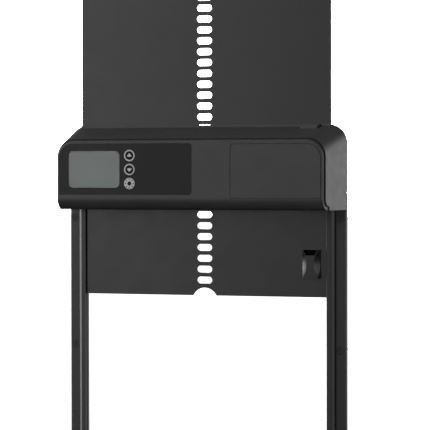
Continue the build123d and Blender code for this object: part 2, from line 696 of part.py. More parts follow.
def cell_x(k):
    """The place of each cell along X."""
    return CELL_MID_X + (k - 1.5) * CELL_PITCH


def batteries():
    """Four AA cells, with their positive ends alternately up and down."""
    cells = []
    for k in range(4):
        upright = 1 if k % 2 == 0 else -1
        can = Cylinder(CELL_RADIUS, CELL_LENGTH - 1.2)
        can = fillet(can.edges().filter_by(GeomType.CIRCLE), 0.8)
        cell = Pos(0, 0, -0.6) * can + Pos(0, 0, CELL_LENGTH / 2 - 0.7) * Cylinder(2.7, 1.4)
        cells.append(Pos(cell_x(k), CELL_Y, CELL_Z) * Rot(0, 0 if upright > 0 else 180, 0) * cell)
    return cells


def battery_contacts():
    """The sprung contact blades at both ends of the cells."""
    blades = []
    for k in range(4):
        top = CELL_Z + CELL_LENGTH / 2 + 0.05
        bottom = CELL_Z - CELL_LENGTH / 2 - 0.05
        x = cell_x(k)
        blades.append(block(x - 5, x + 5, CELL_Y - 5, CELL_Y + 5, top, top + 0.5))
        blades.append(block(x - 5, x + 5, CELL_Y - 5, CELL_Y + 5, bottom - 0.5, bottom))
        blades.append(Pos(x, CELL_Y, bottom - 1.35) * Cylinder(3.0, 1.6))
    return blades


def involute(angle):
    """The involute function of a pressure angle."""
    return tan(angle) - angle


def spur_gear(teeth, x0, x1, first_tooth_angle, bore):
    """A spur gear about the X axis, its first tooth's angle measured from +Y towards +Z."""
    pitch = MODULE * teeth / 2
    base = pitch * cos(radians(20))
    backlash = 0.09
    flank = [pitch - 1.1 * MODULE, pitch - 0.35 * MODULE, pitch, pitch + 0.5 * MODULE, pitch + 0.95 * MODULE]
    half_angles = []
    for radius in flank:
        pressure = acos(min(1.0, base / radius))
        spread = pi / (2 * teeth) + involute(radians(20)) - involute(pressure)
        half_angles.append(spread - backlash / radius)
    points = []
    for k in range(teeth):
        middle = first_tooth_angle + k * 2 * pi / teeth
        rising = [(r, middle - a) for r, a in zip(flank, half_angles)]
        falling = [(r, middle + a) for r, a in zip(flank, half_angles)]
        points += [(r * cos(a), r * sin(a)) for r, a in rising + falling[::-1]]
    return turned_profile(make_face(Polyline(*points, close=True)) - Circle(bore), x0, x1)


def turned_profile(face, x0, x1):
    """A section in the YZ plane given length along X."""
    plane = Plane(origin=(x0, 0, 0), x_dir=(0, 1, 0), z_dir=(1, 0, 0))
    return extrude(plane * face, x1 - x0)


def drive_sprocket():
    """The wheel whose eight teeth enter the panel's slots."""
    shape = Circle(SPROCKET_RADIUS - 2.6)
    tip = SPROCKET_RADIUS + TOOTH_REACH
    root = SPROCKET_RADIUS - 3.2
    shoulder = SPROCKET_RADIUS - 1
    flank = [(root, -TOOTH_HALF), (shoulder, -TOOTH_HALF), (tip, -TOOTH_TIP_HALF)]
    tooth = make_face(Polyline(*flank, *[(x, -y) for x, y in flank[::-1]], close=True))
    for k in range(SPROCKET_TEETH):
        shape += Rot(0, 0, k * 360 / SPROCKET_TEETH) * tooth
    shape -= Circle(SHAFT_RADIUS)
    body = turned_profile(shape, -SPROCKET_WIDTH / 2, SPROCKET_WIDTH / 2)
    return Pos(0, SHAFT_Y, SHAFT_Z) * body


def drive_gear():
    """The gear on the sprocket's shaft."""
    return Pos(0, SHAFT_Y, SHAFT_Z) * spur_gear(DRIVE_TEETH, GEAR_X0, GEAR_X1, gear_line(), SHAFT_RADIUS)


def gear_line():
    """The angle, from +Y towards +Z, of the line from the sprocket's shaft to the motor's."""
    return -pi + acos((SHAFT_Y - MOTOR_Y) / GEAR_DISTANCE)


def motor_gear():
    """The motor's gear. A gap between its teeth faces the drive gear at rest."""
    facing = gear_line() + pi + pi / MOTOR_TEETH
    return Pos(0, MOTOR_Y, MOTOR_Z) * spur_gear(MOTOR_TEETH, GEAR_X0, GEAR_X1, facing, MOTOR_SHAFT_RADIUS)


def motor_shaft():
    """The gearbox's output shaft, fixed in the motor gear."""
    return rod_x(MOTOR_Y, MOTOR_Z, MOTOR_SHAFT_RADIUS, -24.0, GEAR_X1 + 0.6)


def drive_shaft():
    """The shaft that carries the sprocket and the drive gear."""
    return rod_x(SHAFT_Y, SHAFT_Z, SHAFT_RADIUS, GEAR_X0 - 0.8, EAR_OUTER + 1.5)


def shaft_bushes():
    """A flanged bush in each ear of the mechanism plate."""
    bushes = []
    for inner, outer in ((EAR_INNER, EAR_OUTER), (-EAR_INNER, -EAR_OUTER)):
        sleeve = rod_x(SHAFT_Y, SHAFT_Z, BUSH_RADIUS, *sorted((inner, outer)))
        side = side_of(inner)
        sleeve += rod_x(SHAFT_Y, SHAFT_Z, 4.2, *sorted((inner - side * 0.05, inner - side * 0.9)))
        sleeve += rod_x(SHAFT_Y, SHAFT_Z, BUSH_RADIUS, *sorted((inner - side * 0.1, inner + side * 0.1)))
        bushes.append(sleeve - rod_x(SHAFT_Y, SHAFT_Z, SHAFT_RADIUS + 0.05, -20, 20))
    return bushes


def gearbox():
    """The motor's reduction gearbox."""
    body = rod_x(MOTOR_Y, MOTOR_Z, MOTOR_RADIUS, -42.0, -20.5)
    body += rod_x(MOTOR_Y, MOTOR_Z, 3.5, -21.0, -19.0)
    return body - rod_x(MOTOR_Y, MOTOR_Z, MOTOR_SHAFT_RADIUS + 0.05, -24.5, -18)


def motor():
    """The motor can with its end cap and terminals."""
    body = rod_x(MOTOR_Y, MOTOR_Z, MOTOR_RADIUS, -72.0, -42.05)
    body = fillet(body.edges().group_by(Axis.X)[0], 1.2)
    body += rod_x(MOTOR_Y, MOTOR_Z, 4.0, -73.5, -71.5)
    for dz in (-6.5, 6.5):
        body += block(-75.0, -71.5, MOTOR_Y - 1.0, MOTOR_Y + 1.0, MOTOR_Z + dz - 0.4, MOTOR_Z + dz + 0.4)
    return body


def bend_radii(points):
    """The arc at each corner of a route, as large as the two runs beside it allow."""
    corners = [Vector(*point) for point in points]
    bends = []
    for before, corner, after in zip(corners, corners[1:], corners[2:]):
        turn = radians((corner - before).get_angle(after - corner))
        shorter = min((corner - before).length, (after - corner).length)
        bends.append(0.45 * shorter / tan(turn / 2))
    return bends


def lead(points):
    """An insulated wire along straight runs joined by arcs."""
    route = FilletPolyline(*points, radius=bend_radii(points))
    start = Plane(origin=route @ 0, z_dir=route % 0)
    return sweep(start * Circle(LEAD_RADIUS), path=route)


def print_radii(name, points):
    """Print the bend radii that a lead's route gives."""
    print(name, "bend radii", [round(radius, 1) for radius in bend_radii(points)])


def motor_leads():
    """The two wires from the motor's terminals to the board."""
    socket_y = BOARD_Y[1] + SOCKET
    wires = []
    for terminal, shift in ((-6.5, 0.0), (6.5, 2.4)):
        points = [
            (-75.05, MOTOR_Y, MOTOR_Z + terminal),
            (-83.0 + shift, MOTOR_Y, MOTOR_Z + terminal + 0.5),
            (-86.0 + 1.5 * shift, MOTOR_Y + 3.0, BASE + 40.0),
            (-76.0 + shift, MOTOR_Y + 4.0, BASE + 53.0 - shift),
            (-58.0, MOTOR_Y + 3.0, BASE + 56.0 - shift),
            (-42.0, MOTOR_Y + 2.5, BASE + 54.0 - shift),
            (-33.2 + shift, MOTOR_Y + 0.5, BASE + 50.0),
            (-33.2 + shift, socket_y + 0.05, BASE + 50.0),
        ]
        print_radii("motor lead", points)
        wires.append(lead(points))
    return wires


def battery_leads():
    """The two wires from the battery tray to the board."""
    socket_y = BOARD_Y[1] + SOCKET
    tray_side = CELL_MID_X - 2 * CELL_PITCH - TRAY_WALL
    wires = []
    for shift in (0.0, 2.4):
        points = [
            (tray_side - 0.05, CELL_Y + 5.0, BASE + 18.0 + shift),
            (tray_side - 8.0, CELL_Y + 5.0, BASE + 18.5 + shift),
            (34.0, CELL_Y + 7.0, BASE + 31.0 + shift),
            (20.0, CELL_Y + 7.5, BASE + 45.0 + shift),
            (3.0, CELL_Y + 8.0, BASE + 54.0 + shift),
            (-11.0 - shift, CELL_Y + 12.0, BASE + 50.0 + shift),
            (-12.8 - shift, CELL_Y + 11.5, BASE + 45.0),
            (-12.8 - shift, socket_y + 0.05, BASE + 45.0),
        ]
        print_radii("battery lead", points)
        wires.append(lead(points))
    return wires


def write_node(name, shape):
    """Write one node: a single body, or a group of separate ones."""
    pieces = shape if isinstance(shape, list) else [shape]
    solids = [solid for piece in pieces for solid in piece.solids()]
    result = solids[0] if len(solids) == 1 else Compound(children=solids)
    export_step(result, os.path.join("parts", name + ".step"))


NODES = {
    "rear_cover": rear_cover,
    "housing_body": housing_body,
    "chassis": chassis,
    "snap_tongue": snap_tongue,
    "front_gasket": front_gasket,
    "front_cover": front_cover,
    "display_fascia": display_fascia,
    "lcd_window": lcd_window,
    "lcd_module": lcd_module,
    "control_board": control_board,
    "board_posts": board_posts,
    "board_screws": board_screws,
    "board_chips": board_chips,
    "lead_sockets": lead_sockets,
    "tact_switches": tact_switches,
    "battery_tray": battery_tray,
    "batteries": batteries,
    "battery_contacts": battery_contacts,
    "battery_seal": battery_seal,
    "battery_cover": battery_cover,
    "motor": motor,
    "gearbox": gearbox,
    "motor_strap": motor_strap,
    "strap_screws": strap_screws,
    "motor_gear": motor_gear,
    "motor_shaft": motor_shaft,
    "drive_gear": drive_gear,
    "drive_shaft": drive_shaft,
    "drive_sprocket": drive_sprocket,
    "shaft_bushes": shaft_bushes,
    "case_screws": case_screws,
    "front_screws": front_screws,
    "chassis_screws": chassis_screws,
    "motor_leads": motor_leads,
    "battery_leads": battery_leads,
    "rail_screws": rail_screws,
    "rail_stops": rail_stops,
    "door_panel": door_panel,
    "finger_pull": finger_pull,
    "pull_rivets": pull_rivets,
}


def main():
    os.makedirs("parts", exist_ok=True)
    for name, build in NODES.items():
        write_node(name, build())
    write_node("left_rail", rail(-1))
    write_node("right_rail", rail(1))
    for name, level in zip(("up_button", "down_button", "set_button"), KEY_Z):
        write_node(name, key_button(level))


main()
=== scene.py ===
"""Looks for the automatic coop door: materials, printed key symbols, light and camera."""

import json
from math import cos, pi, radians, sin

import bmesh
import bpy
from mathutils import Matrix, Vector


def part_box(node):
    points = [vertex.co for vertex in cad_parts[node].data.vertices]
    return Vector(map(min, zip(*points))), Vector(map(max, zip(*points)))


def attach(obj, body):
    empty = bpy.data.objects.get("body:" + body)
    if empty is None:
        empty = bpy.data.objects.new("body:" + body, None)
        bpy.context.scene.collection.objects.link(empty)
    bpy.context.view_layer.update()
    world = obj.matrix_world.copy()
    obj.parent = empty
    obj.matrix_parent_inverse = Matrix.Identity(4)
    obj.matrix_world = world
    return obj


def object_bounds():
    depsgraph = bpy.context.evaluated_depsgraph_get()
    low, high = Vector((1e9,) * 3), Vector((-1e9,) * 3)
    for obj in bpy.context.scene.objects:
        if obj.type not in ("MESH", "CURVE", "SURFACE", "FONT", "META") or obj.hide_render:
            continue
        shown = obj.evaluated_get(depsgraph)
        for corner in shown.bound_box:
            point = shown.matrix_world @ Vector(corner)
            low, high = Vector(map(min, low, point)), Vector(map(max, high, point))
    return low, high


MM = 0.001
WHITE = (1, 1, 1, 1)
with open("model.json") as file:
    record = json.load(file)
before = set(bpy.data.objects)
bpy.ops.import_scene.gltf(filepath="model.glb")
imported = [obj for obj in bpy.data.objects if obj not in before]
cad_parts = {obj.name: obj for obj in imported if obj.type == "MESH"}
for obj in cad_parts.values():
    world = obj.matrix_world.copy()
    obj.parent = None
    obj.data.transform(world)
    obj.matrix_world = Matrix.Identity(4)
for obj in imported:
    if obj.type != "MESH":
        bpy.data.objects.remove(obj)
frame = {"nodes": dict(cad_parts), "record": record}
CAD_BOX = [list(corner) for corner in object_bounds()]


# ---------------------------------------------------------------- node graphs

class Nodes:
    """Short calls for building a node tree."""

    def __init__(self, tree):
        self.tree = tree

    def node(self, kind, **settings):
        made = self.tree.nodes.new(kind)
        for key, value in settings.items():
            setattr(made, key, value)
        return made

    def link(self, source, target):
        self.tree.links.new(source, target)

    def axes(self, source):
        """The x, y and z of a place or a direction."""
        made = self.node("ShaderNodeSeparateXYZ")
        self.link(source, made.inputs[0])
        return made.outputs

    def math(self, operation, a, b=0.0, clamp=False):
        made = self.node("ShaderNodeMath", operation=operation, use_clamp=clamp)
        for socket, value in zip(made.inputs, (a, b)):
            if isinstance(value, (int, float)):
                socket.default_value = value
            else:
                self.link(value, socket)
        return made.outputs[0]

    def product(self, first, *others):
        for other in others:
            first = self.math("MULTIPLY", first, other)
        return first

    def map_range(self, value, start, end, low, high, **settings):
        made = self.node("ShaderNodeMapRange", **settings)
        levels = (("From Min", start), ("From Max", end), ("To Min", low), ("To Max", high))
        for name, level in levels:
            made.inputs[name].default_value = level
        self.link(value, made.inputs["Value"])
        return made.outputs["Result"]

    def ease(self, value, start, end, low, high):
        """Follow a value smoothly from one level to another between two points."""
        return self.map_range(value, start, end, low, high, interpolation_type="SMOOTHSTEP")


class Graph(Nodes):
    """A material's node tree, with short calls for its textures."""

    NOISE_MIDDLE = (0.3, 0.7)

    def __init__(self, name, color, roughness):
        self.material = bpy.data.materials.new(name)
        self.material.use_nodes = True
        super().__init__(self.material.node_tree)
        self.shader = self.tree.nodes["Principled BSDF"]
        self.shader.inputs["Base Color"].default_value = (*color, 1)
        self.shader.inputs["Roughness"].default_value = roughness
        self.color = color
        self.roughness = roughness
        self.place = self.node("ShaderNodeTexCoord").outputs["Object"]

    def mapped(self, setting, value):
        """The place on the piece, scaled or turned before a texture reads it."""
        mapping = self.node("ShaderNodeMapping")
        mapping.inputs[setting].default_value = value
        self.link(self.place, mapping.inputs["Vector"])
        return mapping.outputs["Vector"]

    def noise(self, feature_mm, detail, stretch=(1, 1, 1), rough=0.5):
        made = self.node("ShaderNodeTexNoise")
        made.inputs["Scale"].default_value = 1 / (feature_mm * MM)
        made.inputs["Detail"].default_value = detail
        made.inputs["Roughness"].default_value = rough
        self.link(self.mapped("Scale", stretch), made.inputs["Vector"])
        return made.outputs["Fac"]

    def spread(self, value, low, high):
        """Map the useful middle of a noise to a range."""
        return self.map_range(value, *self.NOISE_MIDDLE, low, high)

    def mix(self, factor, a, b):
        made = self.node("ShaderNodeMix", data_type="RGBA")
        self.link(factor, made.inputs["Factor"])
        for socket, value in ((made.inputs["A"], a), (made.inputs["B"], b)):
            if isinstance(value, tuple):
                socket.default_value = (*value, 1)
            else:
                self.link(value, socket)
        return made.outputs["Result"]

    def edge_mask(self, radius_mm, gain):
        """Near 1 along sharp edges, where handling wears a surface and where a painted edge
        highlight goes, and 0 on the flats.
        """
        bevel = self.node("ShaderNodeBevel", samples=4)
        bevel.inputs["Radius"].default_value = radius_mm * MM
        geometry = self.node("ShaderNodeNewGeometry")
        dot = self.node("ShaderNodeVectorMath", operation="DOT_PRODUCT")
        self.link(bevel.outputs["Normal"], dot.inputs[0])
        self.link(geometry.outputs["Normal"], dot.inputs[1])
        away = self.math("SUBTRACT", 1.0, dot.outputs["Value"])
        return self.math("MULTIPLY", away, gain, clamp=True)

    def tone(self, factor, low, high):
        """The base colour from darker to lighter shares of itself."""
        return self.mix(factor, scaled(self.color, low), scaled(self.color, high))

    def set_color(self, color):
        self.link(color, self.shader.inputs["Base Color"])

    def set_roughness(self, factor, swing):
        varied = self.spread(factor, self.roughness - swing, self.roughness + swing)
        self.link(varied, self.shader.inputs["Roughness"])

    def set_bump(self, height, depth_mm, strength):
        bump = self.node("ShaderNodeBump")
        bump.inputs["Strength"].default_value = strength
        bump.inputs["Distance"].default_value = depth_mm * MM
        self.link(height, bump.inputs["Height"])
        self.link(bump.outputs["Normal"], self.shader.inputs["Normal"])


def scaled(color, share):
    return tuple(channel * share for channel in color)


# ---------------------------------------------------------------- materials

def moulded_graph(name, color, roughness, edge_wear_and_highlight):
    """Spark-eroded moulding: a fine grain, faint flow mottling, and edges lightened partly by
    rubbing wear and partly as a painted edge highlight.
    """
    g = Graph(name, color, roughness)
    mottle = g.spread(g.noise(22, detail=4), 0, 1)
    base = g.tone(mottle, 0.9, 1.1)
    # Lighter edges: partly rubbing wear, partly a painted edge highlight.
    rubbed_and_highlit = tuple(channel * 2.0 + 0.02 for channel in color)
    edge_breakup = g.spread(g.noise(4, detail=5, rough=0.7), 0.2, 1.0)
    worn_and_highlit_edges = g.product(g.edge_mask(radius_mm=0.7, gain=1.6), edge_breakup, edge_wear_and_highlight)
    g.set_color(g.mix(worn_and_highlit_edges, base, rubbed_and_highlit))
    g.set_roughness(g.noise(9, detail=4), swing=0.05)
    fine_grain = g.math("MULTIPLY", g.noise(0.16, detail=2), 0.5)
    grain = g.math("ADD", g.noise(0.45, detail=2), fine_grain)
    g.set_bump(grain, depth_mm=0.02, strength=0.4)
    return g


def moulded_plastic(name, color, roughness, edge_wear_and_highlight):
    return moulded_graph(name, color, roughness, edge_wear_and_highlight).material


# The fingertip pocket, from where its painted shade begins to where it is full, in mm.
POCKET_BEHIND_FACE = (0.3, 1.5)
POCKET_FROM_MIDDLE = (7.4, 6.9)
POCKET_BELOW_TOP = (5.3, 4.9)
# The pocket's painted shade: its colour, and the specular level outside it and inside it.
POCKET_SHADE_COLOR = (0.0012, 0.0011, 0.001)
UNSHADED_SPECULAR = 0.5
SHADED_SPECULAR = 0.02


def grip_plastic(name, color):
    """The finger pull's moulding, with painted shade in its fingertip pocket: darker and less
    glossy there.
    """
    g = moulded_graph(name, color, roughness=0.3, edge_wear_and_highlight=0.7)
    low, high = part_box("finger_pull")
    x, y, z = g.axes(g.place)
    near, far = (low.y + depth * MM for depth in POCKET_BEHIND_FACE)
    deep = g.ease(y, near, far, 0, 1)
    aside = g.math("ABSOLUTE", g.math("SUBTRACT", x, (low.x + high.x) / 2))
    outer, inner = (reach * MM for reach in POCKET_FROM_MIDDLE)
    between = g.ease(aside, inner, outer, 1, 0)
    below, above = (high.z - drop * MM for drop in POCKET_BELOW_TOP)
    lifted = g.ease(z, below, above, 0, 1)
    # Painted shade: the fingertip pocket is darkened and its gloss lowered to stand in for the
    # shade inside it.
    pocket_shade = g.product(deep, g.math("MULTIPLY", between, lifted))
    unshaded = g.shader.inputs["Base Color"].links[0].from_socket
    g.set_color(g.mix(pocket_shade, unshaded, POCKET_SHADE_COLOR))
    specular = g.ease(pocket_shade, 0.0, 1.0, UNSHADED_SPECULAR, SHADED_SPECULAR)
    g.link(specular, g.shader.inputs["Specular IOR Level"])
    return g.material


def powder_coat(name, color, roughness=0.34):
    """Dark powder coat on aluminium: orange peel, dust-like fleck, and edges lightened partly by
    wear and partly as a painted edge highlight.
    """
    g = Graph(name, color, roughness)
    mottle = g.spread(g.noise(45, detail=3), 0, 1)
    fleck = g.math("MULTIPLY", g.spread(g.noise(0.5, detail=2), 0, 1), 0.25)
    base = g.mix(fleck, g.tone(mottle, 0.93, 1.07), scaled(color, 1.5))
    edge_breakup = g.spread(g.noise(3, detail=5, rough=0.75), 0.0, 1.0)
    # Lighter edges: partly worn coating, partly a painted edge highlight.
    worn_and_highlit_edges = g.product(g.edge_mask(radius_mm=0.4, gain=1.5), edge_breakup, 0.6)
    g.set_color(g.mix(worn_and_highlit_edges, base, (0.16, 0.165, 0.17)))
    g.set_roughness(g.noise(14, detail=4), swing=0.04)
    fine_peel = g.math("MULTIPLY", g.noise(0.4, detail=2), 0.35)
    peel = g.math("ADD", g.noise(1.6, detail=2), fine_peel)
    g.set_bump(peel, depth_mm=0.012, strength=0.25)
    return g.material


def seal_rubber(name, color):
    """Soft matt rubber with a little dust in its skin."""
    g = Graph(name, color, 0.82)
    dust = g.spread(g.noise(2.5, detail=6, rough=0.7), 0, 1)
    g.set_color(g.tone(dust, 0.8, 1.5))
    g.set_roughness(dust, swing=0.08)
    g.set_bump(g.noise(0.5, detail=3), depth_mm=0.03, strength=0.4)
    return g.material


def gloss_overlay(name, color, roughness, specular):
    """A polished printed overlay with faint smears and hairline scratches."""
    g = Graph(name, color, roughness)
    smear = g.noise(30, detail=5, stretch=(1, 1, 0.45))
    g.set_color(g.tone(g.spread(smear, 0, 1), 0.9, 1.12))
    g.set_roughness(smear, swing=0.05)
    hairline = g.noise(3, detail=2, stretch=(0.08, 1, 2.2))
    g.set_bump(hairline, depth_mm=0.004, strength=0.15)
    g.shader.inputs["Specular IOR Level"].default_value = specular
    return g.material


def clear_window(name):
    """The clear window over the display, with faint wipe marks."""
    g = Graph(name, (0.93, 0.96, 0.95), 0.06)
    g.shader.inputs["Transmission Weight"].default_value = 1.0
    g.shader.inputs["IOR"].default_value = 1.46
    wipes = g.noise(18, detail=4, stretch=(0.4, 1, 1))
    g.set_color(g.tone(g.spread(wipes, 0, 1), 0.97, 1.0))
    g.set_roughness(wipes, swing=0.02)
    return g.material


RIM_WIDTH = 2.2 * MM
RIM_SHARPNESS = 900
RIM_SHARE = 0.55
LATTICE_PITCH = 0.9 * MM
LATTICE_THRESHOLD = 0.8
LATTICE_SHARE = 0.16


def display_glass(name, color):
    """The resting display: a fine cell lattice on grey-green, lighter in a band around its edge.
    """
    g = Graph(name, color, 0.35)
    low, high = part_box("lcd_window")
    axes = g.axes(g.place)
    rim = []
    for socket, start, end in (("X", low.x, high.x), ("Z", low.z, high.z)):
        middle = g.math("ABSOLUTE", g.math("SUBTRACT", axes[socket], (start + end) / 2))
        past_field = g.math("SUBTRACT", middle, (end - start) / 2 - RIM_WIDTH)
        rim.append(g.math("MULTIPLY", past_field, RIM_SHARPNESS, clamp=True))
    border = g.math("MAXIMUM", *rim)
    lattice = []
    for socket in ("X", "Z"):
        wave = g.math("SINE", g.math("MULTIPLY", axes[socket], 2 * pi / LATTICE_PITCH))
        lattice.append(g.math("GREATER_THAN", wave, LATTICE_THRESHOLD))
    lines = g.math("MULTIPLY", g.math("MAXIMUM", *lattice), LATTICE_SHARE)
    mottled = g.tone(g.spread(g.noise(16, detail=3), 0, 1), 0.95, 1.05)
    field = g.mix(lines, mottled, scaled(color, 0.8))
    g.set_color(g.mix(g.math("MULTIPLY", border, RIM_SHARE), field, scaled(color, 1.45)))
    g.set_roughness(g.noise(8, detail=3), swing=0.04)
    return g.material


def circuit_board(name, color):
    """Green solder mask with paler tracks and tinned pads."""
    g = Graph(name, color, 0.38)
    tracks = g.node("ShaderNodeTexBrick")
    tracks.inputs["Scale"].default_value = 110
    tracks.inputs["Mortar Size"].default_value = 0.06
    g.link(g.mapped("Rotation", (pi / 2, 0, 0)), tracks.inputs["Vector"])
    pads = g.node("ShaderNodeTexVoronoi")
    pads.inputs["Scale"].default_value = 260
    g.link(g.place, pads.inputs["Vector"])
    tinned = g.math("LESS_THAN", pads.outputs["Distance"], 0.16)
    mask = g.tone(g.noise(8, detail=3), 0.85, 1.1)
    routed = g.mix(tracks.outputs["Fac"], mask, scaled(color, 1.9))
    g.set_color(g.mix(tinned, routed, (0.55, 0.55, 0.52)))
    g.set_roughness(g.noise(6, detail=3), swing=0.06)
    g.set_bump(tracks.outputs["Fac"], depth_mm=0.03, strength=0.4)
    return g.material


def metal(name, color, roughness=0.3):
    """Drawn or turned metal: grain along one direction, with handling marks."""
    g = Graph(name, color, roughness)
    g.shader.inputs["Metallic"].default_value = 1.0
    grain = g.noise(0.6, detail=3, stretch=(0.06, 1, 1))
    g.set_color(g.tone(g.spread(g.noise(5, detail=4), 0, 1), 0.82, 1.06))
    g.set_roughness(grain, swing=0.09)
    g.set_bump(grain, depth_mm=0.01, strength=0.3)
    return g.material


def coated_screw(name, color):
    """Black-coated steel with the coating rubbed at the recess."""
    g = Graph(name, color, 0.4)
    rub = g.spread(g.noise(0.8, detail=4), 0.1, 0.9)
    bare = g.math("MULTIPLY", g.edge_mask(radius_mm=0.25, gain=1.4), rub)
    coating = g.tone(g.noise(1.2, detail=3), 0.8, 1.3)
    g.set_color(g.mix(bare, coating, (0.2, 0.2, 0.2)))
    g.set_roughness(g.noise(0.9, detail=3), swing=0.08)
    g.set_bump(g.noise(0.4, detail=3), depth_mm=0.02, strength=0.4)
    return g.material


CELL_COUNT = 4
COPPER_FROM = 0.7
CAP_FROM = 0.965


def cell_jacket(name):
    """Battery jackets: dark, with a coppery band by the positive end of each cell."""
    g = Graph(name, (0.03, 0.03, 0.035), 0.28)
    low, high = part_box("batteries")
    x, _, z = g.axes(g.place)
    pitch = (high.x - low.x) / CELL_COUNT
    index = g.math("FLOOR", g.math("DIVIDE", g.math("SUBTRACT", x, low.x), pitch))
    odd = g.math("MODULO", index, 2.0)
    height = g.math("DIVIDE", g.math("SUBTRACT", z, low.z), high.z - low.z)
    flipped = g.math("SUBTRACT", 1.0, height)
    even_part = g.math("MULTIPLY", height, g.math("SUBTRACT", 1.0, odd))
    rise = g.math("ADD", even_part, g.math("MULTIPLY", flipped, odd))
    band = g.math("GREATER_THAN", rise, COPPER_FROM)
    cap = g.math("GREATER_THAN", rise, CAP_FROM)
    printed = g.mix(band, g.tone(g.noise(5, detail=3), 0.9, 1.1), (0.42, 0.16, 0.05))
    g.set_color(g.mix(cap, printed, (0.6, 0.6, 0.58)))
    g.set_roughness(g.noise(7, detail=4), swing=0.06)
    g.set_bump(g.noise(12, detail=2), depth_mm=0.03, strength=0.3)
    return g.material


def natural_plastic(name, color):
    """Unpainted acetal: slightly waxy, with faint tool marks."""
    g = Graph(name, color, 0.4)
    g.shader.inputs["Subsurface Weight"].default_value = 0.15
    g.shader.inputs["Subsurface Scale"].default_value = 1.2 * MM
    g.set_color(g.tone(g.spread(g.noise(3, detail=4), 0, 1), 0.93, 1.03))
    g.set_roughness(g.noise(2, detail=4), swing=0.07)
    tool_marks = g.noise(0.5, detail=2, stretch=(1, 0.2, 0.2))
    g.set_bump(tool_marks, depth_mm=0.01, strength=0.3)
    return g.material


def print_ink(name, color):
    """Pale screen-printed ink, a little uneven and worn thin in places."""
    g = Graph(name, color, 0.5)
    thin = g.spread(g.noise(0.9, detail=5, rough=0.7), 0, 1)
    g.set_color(g.tone(thin, 0.82, 1.05))
    g.set_roughness(thin, swing=0.08)
    g.set_bump(g.noise(0.2, detail=2), depth_mm=0.01, strength=0.4)
    return g.material


GRAPHITE = (0.04, 0.0413, 0.0408)
COATED_DARK = (0.0155, 0.016, 0.0158)
MOULDED_BLACK = (0.012, 0.0125, 0.0125)
FINISHES = {
    "graphite_plastic": moulded_plastic("graphite_plastic_look", GRAPHITE, 0.42, edge_wear_and_highlight=0.5),
    "black_plastic": moulded_plastic("black_plastic_look", MOULDED_BLACK, 0.46, edge_wear_and_highlight=0.3),
    "gasket_rubber": seal_rubber("gasket_rubber_look", (0.0028, 0.0028, 0.0028)),
    "gloss_fascia": gloss_overlay(
        "gloss_fascia_look", (0.0045, 0.0048, 0.0048), 0.22, specular=0.24),
    "clear_window": clear_window("clear_window_look"),
    "lcd_glass": display_glass("lcd_glass_look", (0.063, 0.077, 0.07)),
    "board_green": circuit_board("board_green_look", (0.012, 0.07, 0.03)),
    "chip_black": moulded_plastic("chip_black_look", (0.015, 0.015, 0.015), 0.5, edge_wear_and_highlight=0.2),
    "key_black": gloss_overlay("key_black_look", (0.002, 0.002, 0.002), 0.3, specular=0.12),
    "switch_metal": metal("switch_metal_look", (0.6, 0.6, 0.6)),
    "cell_jacket": cell_jacket("cell_jacket_look"),
    "spring_metal": metal("spring_metal_look", (0.68, 0.67, 0.63), 0.25),
    "zinc_screw": metal("zinc_screw_look", (0.58, 0.58, 0.56), 0.32),
    "black_screw": coated_screw("black_screw_look", (0.012, 0.012, 0.012)),
    "motor_can": metal("motor_can_look", (0.48, 0.48, 0.47), 0.33),
    "gear_plastic": natural_plastic("gear_plastic_look", (0.68, 0.66, 0.58)),
    "shaft_steel": metal("shaft_steel_look", (0.62, 0.62, 0.62), 0.2),
    "bush_brass": metal("bush_brass_look", (0.72, 0.5, 0.2), 0.27),
    "lead_cover": seal_rubber("lead_cover_look", (0.2, 0.012, 0.01)),
    "rail_coat": powder_coat("rail_coat_look", COATED_DARK),
    "panel_coat": powder_coat("panel_coat_look", COATED_DARK, 0.22),
    "pull_plastic": grip_plastic("pull_plastic_look", MOULDED_BLACK),
}


def dress_nodes():
    """Give every carried-over node the detailed finish of its own slot."""
    for row in frame["record"]["subparts"]:
        node = frame["nodes"][row["node"]]
        node.data.materials.clear()
        node.data.materials.append(FINISHES[row["material_slot"]])


# ---------------------------------------------------------------- new pieces

def mesh_object(name, bm, material):
    """Turn a bmesh into an object in the scene."""
    data = bpy.data.meshes.new(name)
    bm.to_mesh(data)
    bm.free()
    made = bpy.data.objects.new(name, data)
    bpy.context.scene.collection.objects.link(made)
    made.data.materials.append(material)
    return made


def slab(bm, outline, y_front, y_back):
    """A closed plate from an outline of (x, z) points."""
    front = [bm.verts.new((x, y_front, z)) for x, z in outline]
    back = [bm.verts.new((x, y_back, z)) for x, z in outline]
    bm.faces.new(front)
    bm.faces.new(back[::-1])
    for k in range(len(outline)):
        j = (k + 1) % len(outline)
        bm.faces.new((front[k], back[k], back[j], front[j]))


def sector(bm, centre, radii, start, end, y_front, y_back, steps):
    """A closed piece of a flat ring between two angles; a full turn closes on itself."""
    inner, outer = (radius * MM for radius in radii)
    whole = abs(end - start - 2 * pi) < 1e-6
    rows = []
    for k in range(steps if whole else steps + 1):
        angle = start + (end - start) * k / steps
        corners = []
        profile = ((inner, y_front), (outer, y_front), (outer, y_back), (inner, y_back))
        for radius, y in profile:
            x = centre[0] + radius * cos(angle)
            z = centre[1] + radius * sin(angle)
            corners.append(bm.verts.new((x, y, z)))
        rows.append(corners)
    pairs = list(zip(rows, rows[1:])) + ([(rows[-1], rows[0])] if whole else [])
    for a, b in pairs:
        for k in range(4):
            j = (k + 1) % 4
            bm.faces.new((a[k], a[j], b[j], b[k]))
    if not whole:
        bm.faces.new(rows[0])
        bm.faces.new(rows[-1][::-1])


ARROW_CORNERS = ((0.0, 2.3), (2.55, -0.8), (0.0, -1.3), (-2.55, -0.8))
ARROW_ROUNDING = (0.5, 0.55, 0.6, 0.55)
ARROW_STEPS = 6


